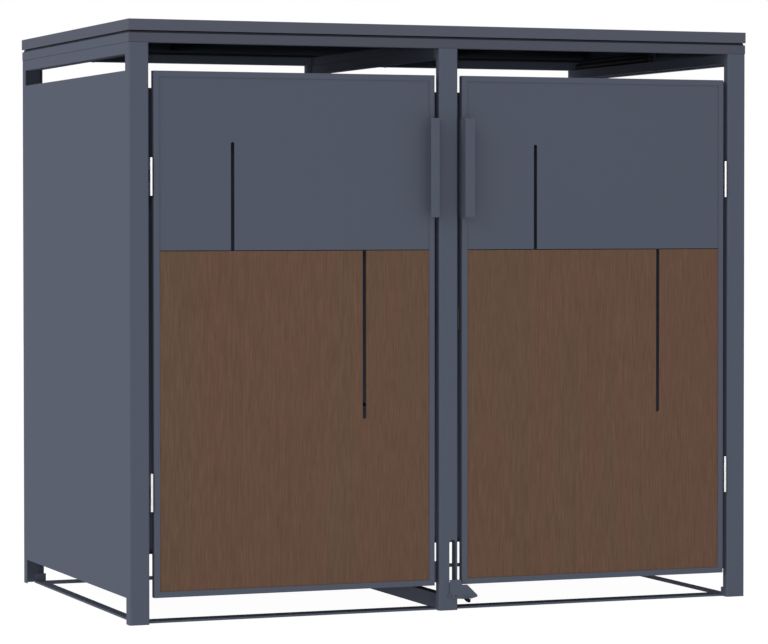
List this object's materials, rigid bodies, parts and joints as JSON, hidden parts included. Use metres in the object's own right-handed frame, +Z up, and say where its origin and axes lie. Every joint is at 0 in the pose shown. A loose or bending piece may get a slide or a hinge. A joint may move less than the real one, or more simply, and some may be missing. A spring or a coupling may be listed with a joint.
{
  "type": "wheelie bin store",
  "caption": "Slate grey steel wheelie bin store with a rear-hinged lid, two outward-swinging doors with walnut decor panels, angle handles and a foot-operated slide bolt.",
  "frame": {"origin": "on the ground, in the middle of the carcass's width and depth, under the partition's floor rail", "axes": "+X to the right of someone facing the doors, +Y from the doors to the rear wall, +Z up"},
  "size_m": [1.3654, 0.8505, 1.2],
  "materials": {
    "steel_coat": "fine-grained matt slate grey powder coat on galvanised steel",
    "steel_face": "the same slate grey powder coat on the upper door panels",
    "wood_decor": "printed walnut decor with fine upright grain on sheet steel, satin",
    "zinc": "bright zinc-plated steel",
    "rubber": "black moulded rubber",
    "magnet": "black plastic magnet case",
    "spring_black": "black lacquered spring tube",
    "rod_black": "black nitrided piston rod"
  },
  "bodies": {
    "carcass": {"door_magnets": "magnet", "front_centre_post": "steel_coat", "gas_spring_brackets": "steel_coat", "left_front_floor_bar": "steel_coat", "left_hinge_pins": "zinc", "left_hinge_post_leaves": "zinc", "left_rear_floor_bar": "steel_coat", "left_rear_panel": "steel_coat", "left_side_floor_bar": "steel_coat", "left_side_wall": "steel_coat", "left_top_rail": "steel_coat", "lid_buffers": "rubber", "lid_hinge_frame_leaf": "steel_coat", "lid_hinge_pin": "zinc", "magnet_brackets": "steel_coat", "partition_floor_rail": "steel_coat", "partition_top_rail": "steel_coat", "rail_screws": "steel_coat", "rear_centre_post": "steel_coat", "right_front_floor_bar": "steel_coat", "right_hinge_pins": "zinc", "right_hinge_post_leaves": "zinc", "right_rear_floor_bar": "steel_coat", "right_rear_panel": "steel_coat", "right_side_floor_bar": "steel_coat", "right_side_wall": "steel_coat", "right_top_rail": "steel_coat", "roof_frame_front": "steel_coat", "roof_frame_left": "steel_coat", "roof_frame_middle": "steel_coat", "roof_frame_rear": "steel_coat", "roof_frame_right": "steel_coat"},
    "lid": {"lid_tray": "steel_coat", "lid_stiffeners": "steel_coat", "lid_hinge_lid_leaf": "steel_coat", "lid_brackets": "steel_coat"},
    "left_door": {"left_door_frame": "steel_coat", "left_door_upper_panel": "steel_face", "left_door_lower_panel": "wood_decor", "left_door_brace": "steel_coat", "left_door_handle": "steel_coat", "left_keeper_plate": "zinc", "left_hinge_door_leaves": "zinc"},
    "right_door": {"right_door_frame": "steel_coat", "right_door_upper_panel": "steel_face", "right_door_lower_panel": "wood_decor", "right_door_brace": "steel_coat", "right_door_handle": "steel_coat", "right_keeper_plate": "zinc", "right_hinge_door_leaves": "zinc"},
    "foot_bolt": {"foot_bolt_plate": "steel_coat", "foot_bolt_backing": "steel_coat", "foot_bolt_rivets": "steel_coat", "foot_bolt_toe_pad": "rubber"},
    "left_spring_tube": {"left_gas_spring_cylinder": "spring_black"},
    "left_spring_rod": {"left_gas_spring_rod": "rod_black"},
    "right_spring_tube": {"right_gas_spring_cylinder": "spring_black"},
    "right_spring_rod": {"right_gas_spring_rod": "rod_black"}
  },
  "joints": [
    {"name": "lid_hinge", "type": "hinge", "parent": "carcass", "child": "lid", "pos_m": [0, 0.4135, 1.1755], "axis": [-1, 0, 0], "range_deg": [0, 75]},
    {"name": "left_door_hinge", "type": "hinge", "parent": "carcass", "child": "left_door", "pos_m": [-0.6355, -0.4085, 0.57525], "axis": [0, 0, -1], "range_deg": [0, 170]},
    {"name": "right_door_hinge", "type": "hinge", "parent": "carcass", "child": "right_door", "pos_m": [0.6355, -0.4085, 0.57525], "axis": [0, 0, 1], "range_deg": [0, 170]},
    {"name": "foot_bolt_slide", "type": "slide", "parent": "carcass", "child": "foot_bolt", "axis": [0, 0, 1], "range_m": [0, 0.105]},
    {"name": "left_spring_swing", "type": "hinge", "parent": "carcass", "child": "left_spring_tube", "pos_m": [-0.6505, 0.3795, 1.1615], "axis": [-1, 0, 0], "range_deg": [0, 79]},
    {"name": "left_spring_stroke", "type": "slide", "parent": "left_spring_tube", "child": "left_spring_rod", "axis": [0, -1, 0.001], "range_m": [0, 0.037]},
    {"name": "right_spring_swing", "type": "hinge", "parent": "carcass", "child": "right_spring_tube", "pos_m": [0.6505, 0.3795, 1.1615], "axis": [-1, 0, 0], "range_deg": [0, 79]},
    {"name": "right_spring_stroke", "type": "slide", "parent": "right_spring_tube", "child": "right_spring_rod", "axis": [0, -1, 0.001], "range_m": [0, 0.037]}
  ],
  "couplings": [
    {"joint": "left_spring_swing", "follows": "lid_hinge", "ratio": 1.0466},
    {"joint": "left_spring_stroke", "follows": "lid_hinge", "m_per_rad": 0.027595},
    {"joint": "right_spring_swing", "follows": "lid_hinge", "ratio": 1.0466},
    {"joint": "right_spring_stroke", "follows": "lid_hinge", "m_per_rad": 0.027595}
  ]
}
